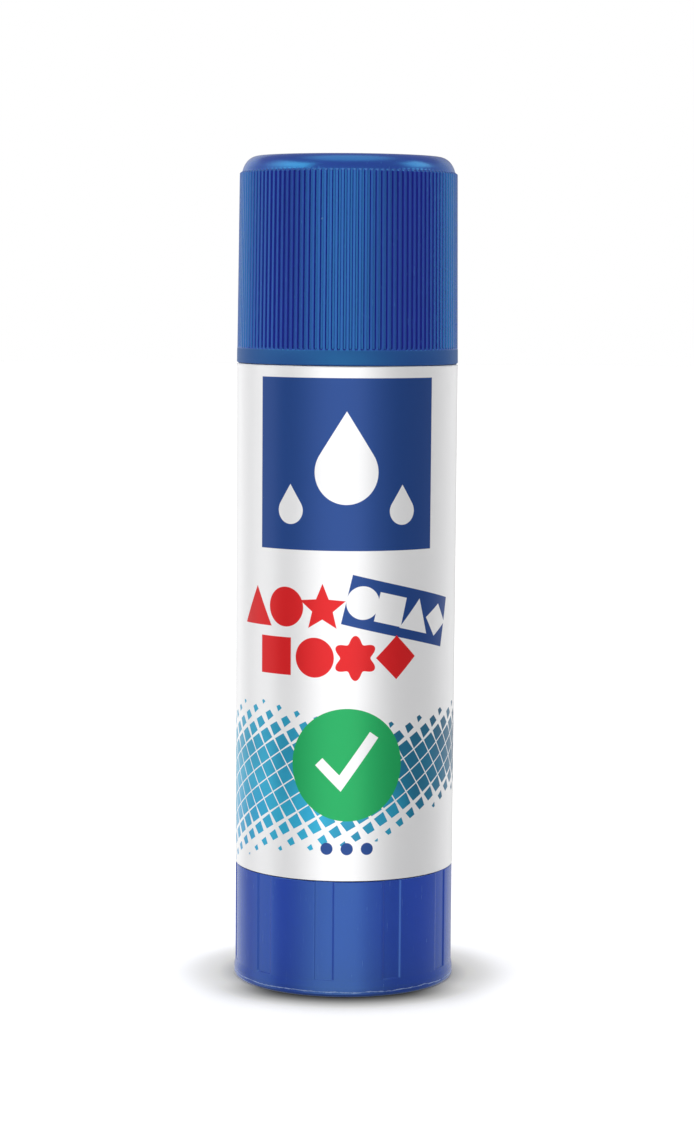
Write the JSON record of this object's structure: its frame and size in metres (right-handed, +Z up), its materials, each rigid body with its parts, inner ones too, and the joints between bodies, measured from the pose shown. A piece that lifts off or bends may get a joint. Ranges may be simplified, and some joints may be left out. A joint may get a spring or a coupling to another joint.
{
  "type": "glue stick",
  "caption": "Capped twist-up glue stick: ribbed pull-off cap, wrapped barrel, grooved twist knob and a lead screw that raises the carrier and its blue glue.",
  "frame": {"origin": "on the surface it stands on, under the middle of the twist knob", "axes": "+Z up along the stick's axis, -Y out of the front of the label, +X to the right of it"},
  "size_m": [0.0312, 0.0312, 0.1157],
  "materials": {
    "cap_blue": "ribbed satin moulding with a smooth band and top",
    "liner_white": "soft milky film-like moulding",
    "barrel_white": "satin moulding",
    "label_film": "glossy printed film",
    "glue_blue": "waxy, slightly translucent",
    "carrier_white": "plain moulding",
    "screw_white": "plain moulding",
    "knob_blue": "smooth gloss moulding"
  },
  "bodies": {
    "barrel": {"barrel": "barrel_white", "label": "label_film"},
    "knob": {"knob": "knob_blue", "lead_screw": "screw_white"},
    "carrier": {"carrier": "carrier_white", "glue_column": "glue_blue"},
    "cap": {"cap": "cap_blue", "cap_liner": "liner_white"}
  },
  "joints": [
    {"name": "knob_turn", "type": "hinge", "parent": "barrel", "child": "knob", "pos_m": [0, 0, 0.01725], "axis": [0, 0, 1], "range_deg": [0, 4320]},
    {"name": "carrier_slide", "type": "slide", "parent": "barrel", "child": "carrier", "axis": [0, 0, 1], "range_m": [0, 0.06], "deforming": ["glue_column"]},
    {"name": "cap_pull", "type": "slide", "parent": "barrel", "child": "cap", "axis": [0, 0, 1], "range_m": [0, 0.06]}
  ],
  "couplings": [
    {"joint": "knob_turn", "follows": "carrier_slide", "rad_per_m": 1256.6}
  ]
}
